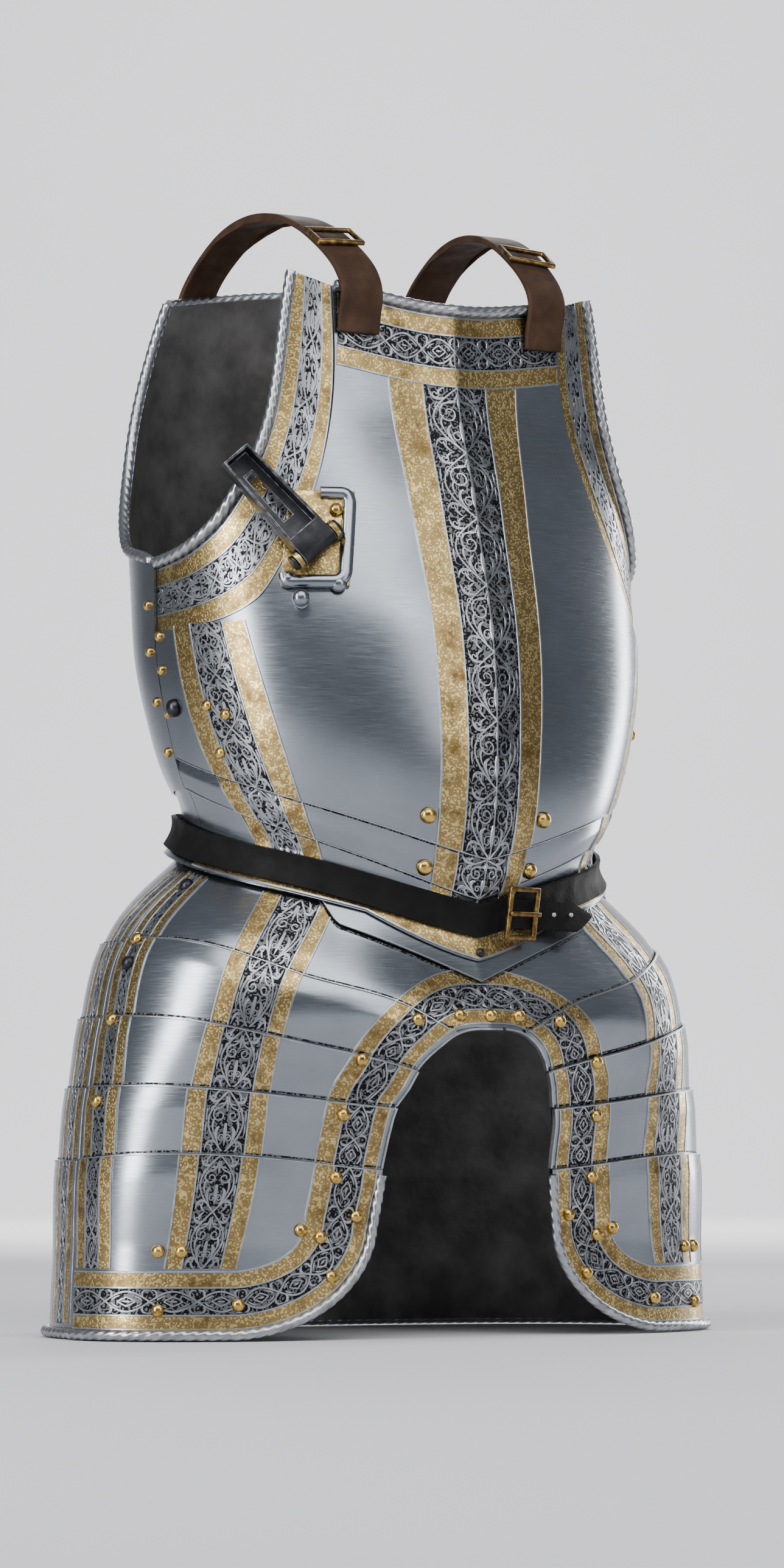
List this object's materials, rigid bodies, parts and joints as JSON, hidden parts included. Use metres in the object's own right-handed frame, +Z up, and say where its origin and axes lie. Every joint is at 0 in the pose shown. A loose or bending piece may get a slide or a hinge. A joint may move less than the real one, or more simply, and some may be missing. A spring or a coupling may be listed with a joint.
{
  "type": "field cuirass",
  "caption": "Steel breastplate and backplate with a flared laminated skirt, hinged lance rest, waist belt and shoulder straps, hollow to be worn.",
  "frame": {"origin": "midway between the undersides of the two shoulder straps at the top of their arcs, where the cuirass hangs on the shoulders", "axes": "+Z up, -Y out of the front, +X to the wearer's left"},
  "size_m": [0.4416, 0.2612, 0.6828],
  "materials": {
    "polished_steel": "polished plate with bright soft streaks, bands etched on a blackened ground and gilt",
    "gilt_steel": "worn fire gilding, mottled brown and gold",
    "dark_steel": "dark unpolished iron, satin",
    "black_leather": "dull black strap leather, creased",
    "brown_leather": "dull brown strap leather"
  },
  "bodies": {
    "cuirass": {"breast_plate": "polished_steel", "right_arm_gusset": "polished_steel", "left_arm_gusset": "polished_steel", "waist_lame": "polished_steel", "waist_plate": "polished_steel", "fauld_lame_1": "polished_steel", "fauld_lame_2": "polished_steel", "right_tasset_lame_1": "polished_steel", "right_tasset_lame_2": "polished_steel", "right_tasset_lame_3": "polished_steel", "right_tasset_lame_4": "polished_steel", "left_tasset_lame_1": "polished_steel", "left_tasset_lame_2": "polished_steel", "left_tasset_lame_3": "polished_steel", "left_tasset_lame_4": "polished_steel", "back_plate": "polished_steel", "back_waist_plate": "polished_steel", "rear_skirt_lame_1": "polished_steel", "rear_skirt_lame_2": "polished_steel", "rear_skirt_lame_3": "polished_steel", "rear_skirt_lame_4": "polished_steel", "rear_skirt_lame_5": "polished_steel", "belt": "black_leather", "belt_buckle": "gilt_steel", "belt_buckle_tongue": "gilt_steel", "right_shoulder_strap": "brown_leather", "left_shoulder_strap": "brown_leather", "right_shoulder_buckle": "gilt_steel", "left_shoulder_buckle": "gilt_steel", "lance_rest_bracket": "polished_steel", "lance_rest_pin": "dark_steel", "ball_pin": "polished_steel", "right_band_rivet_upper": "gilt_steel", "right_band_rivet_lower": "gilt_steel", "right_side_stud": "gilt_steel", "right_side_rivet_1": "gilt_steel", "right_side_rivet_2": "gilt_steel", "right_side_rivet_3": "gilt_steel", "right_skirt_pin_1": "gilt_steel", "right_skirt_pin_2": "gilt_steel", "left_band_rivet_upper": "gilt_steel", "left_band_rivet_lower": "gilt_steel", "left_side_stud": "gilt_steel", "left_side_rivet_1": "gilt_steel", "left_side_rivet_2": "gilt_steel", "left_side_rivet_3": "gilt_steel", "left_skirt_pin_1": "gilt_steel", "left_skirt_pin_2": "gilt_steel"},
    "lance_rest_arm": {"lance_rest_arm": "dark_steel"}
  },
  "joints": [
    {"name": "lance_rest_fold", "type": "hinge", "parent": "cuirass", "child": "lance_rest_arm", "pos_m": [-0.10566, -0.1008, -0.21298], "axis": [0.734, -0.183, 0.654], "range_deg": [0, 90]}
  ]
}
